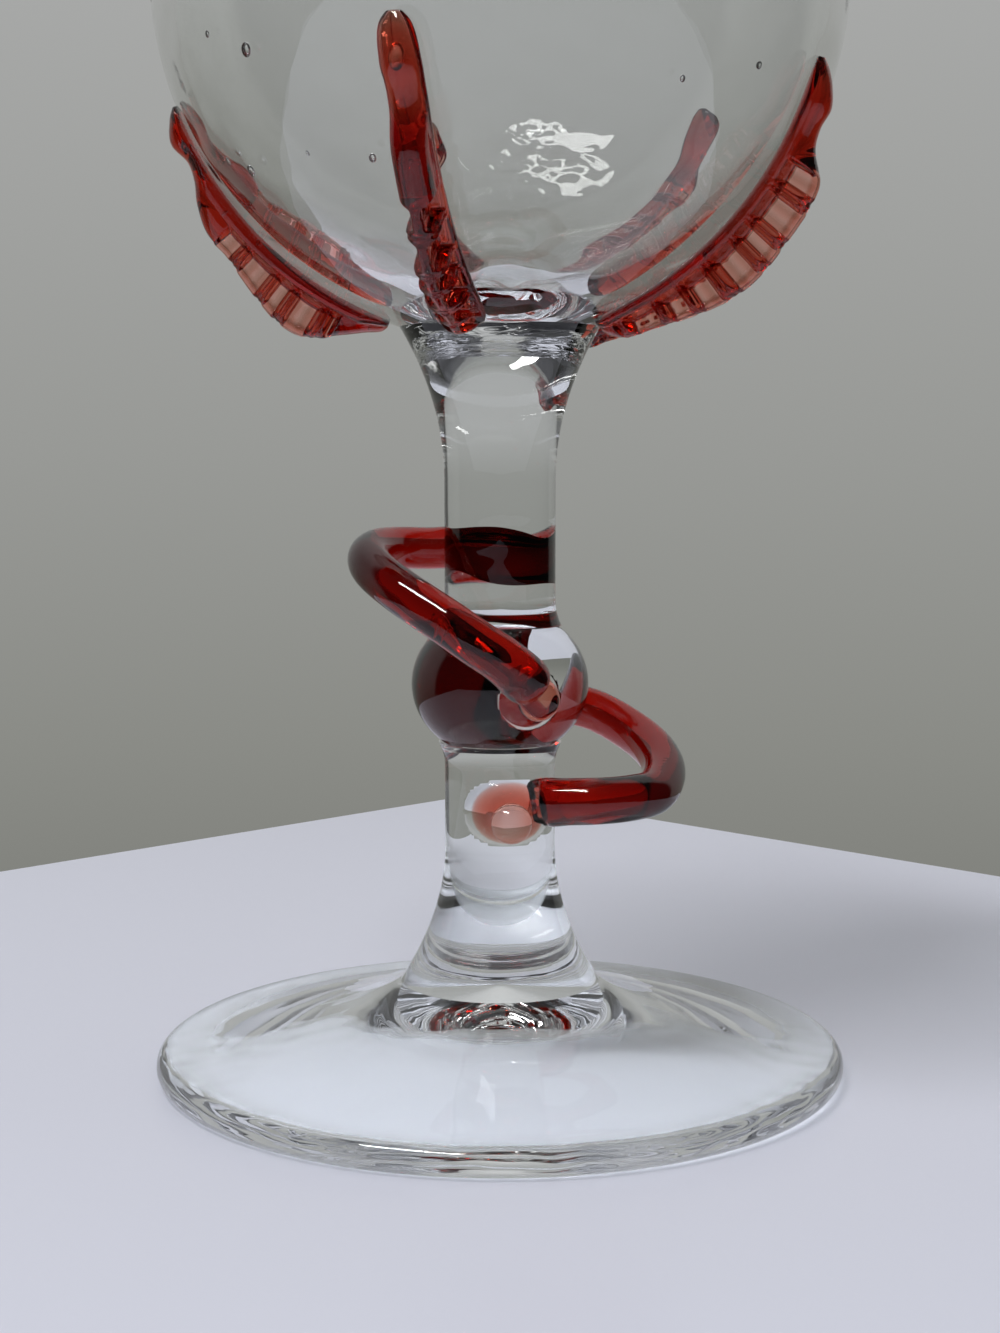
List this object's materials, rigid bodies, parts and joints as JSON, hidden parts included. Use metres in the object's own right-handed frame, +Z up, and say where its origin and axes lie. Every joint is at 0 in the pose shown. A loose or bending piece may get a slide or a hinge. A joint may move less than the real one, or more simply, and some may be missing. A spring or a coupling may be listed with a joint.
{
  "type": "bud vase",
  "caption": "Stemmed bud vase: a clear blown globe with a narrow flared neck, on a knopped solid stem and spread foot, with applied crimped ruby straps and looped ruby rods.",
  "frame": {"origin": "on the surface the vase stands on, under the axis of its foot and stem", "axes": "+Z up along the stem's axis, +X to the right and -Y towards the viewer of the picture"},
  "size_m": [0.08, 0.08, 0.1949],
  "materials": {
    "clear_glass": "fire-polished clear soda glass with a few seeds",
    "ruby_glass": "fire-polished ruby glass, orange-red where thin"
  },
  "bodies": {
    "root": {"foot": "clear_glass", "lower_stem": "clear_glass", "knop": "clear_glass", "upper_stem": "clear_glass", "bowl": "clear_glass", "front_strap": "ruby_glass", "right_strap": "ruby_glass", "back_right_strap": "ruby_glass", "back_left_strap": "ruby_glass", "left_strap": "ruby_glass", "upper_loop": "ruby_glass", "lower_loop": "ruby_glass"}
  },
  "joints": []
}
